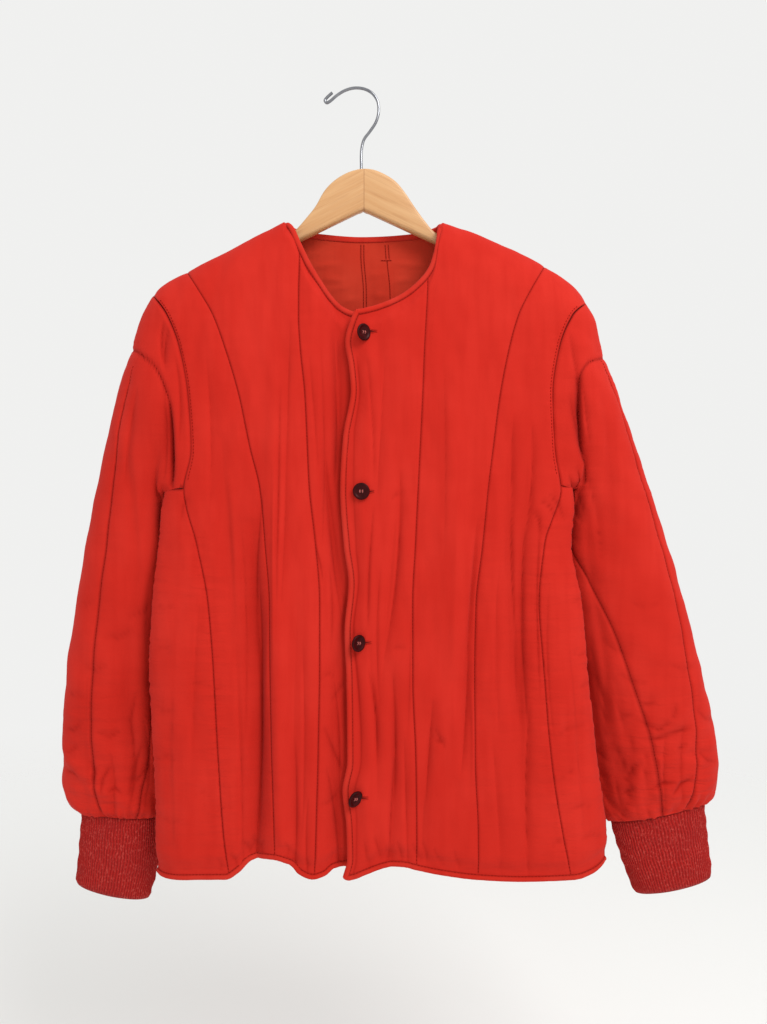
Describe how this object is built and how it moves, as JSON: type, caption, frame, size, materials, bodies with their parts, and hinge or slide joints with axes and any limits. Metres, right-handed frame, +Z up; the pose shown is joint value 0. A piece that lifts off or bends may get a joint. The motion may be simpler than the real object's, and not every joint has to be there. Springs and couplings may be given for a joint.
{
  "type": "quilted liner jacket on a wooden hanger",
  "caption": "Flat-hanging collarless quilted jacket with a bound round neck, buttoned front, long sleeves and rib cuffs, on an arched wooden hanger with a wire hook.",
  "frame": {"origin": "inside top of the hanger's hook, where a rod or peg carries it", "axes": "+X to the wearer's left, +Y to the wearer's back, +Z up; the front faces -Y"},
  "size_m": [0.7176, 0.0906, 0.897],
  "materials": {
    "quilted_cotton": "soft matt cotton",
    "cotton_tape": "matt folded tape",
    "rib_knit": "matt rib knit",
    "button_plastic": "worn gloss",
    "pale_wood": "satin lacquer",
    "bright_steel": "bright"
  },
  "bodies": {
    "root": {"front_right": "quilted_cotton", "front_left": "quilted_cotton", "back": "quilted_cotton", "sleeve_right": "quilted_cotton", "sleeve_left": "quilted_cotton", "cuff_right": "rib_knit", "cuff_left": "rib_knit", "neck_binding": "cotton_tape", "edge_binding_right": "cotton_tape", "edge_binding_left": "cotton_tape", "hem_binding_right": "cotton_tape", "hem_binding_left": "cotton_tape", "hem_binding_back": "cotton_tape", "button_1": "button_plastic", "button_2": "button_plastic", "button_3": "button_plastic", "button_4": "button_plastic", "hanger_wood": "pale_wood", "hanger_hook": "bright_steel"}
  },
  "joints": []
}
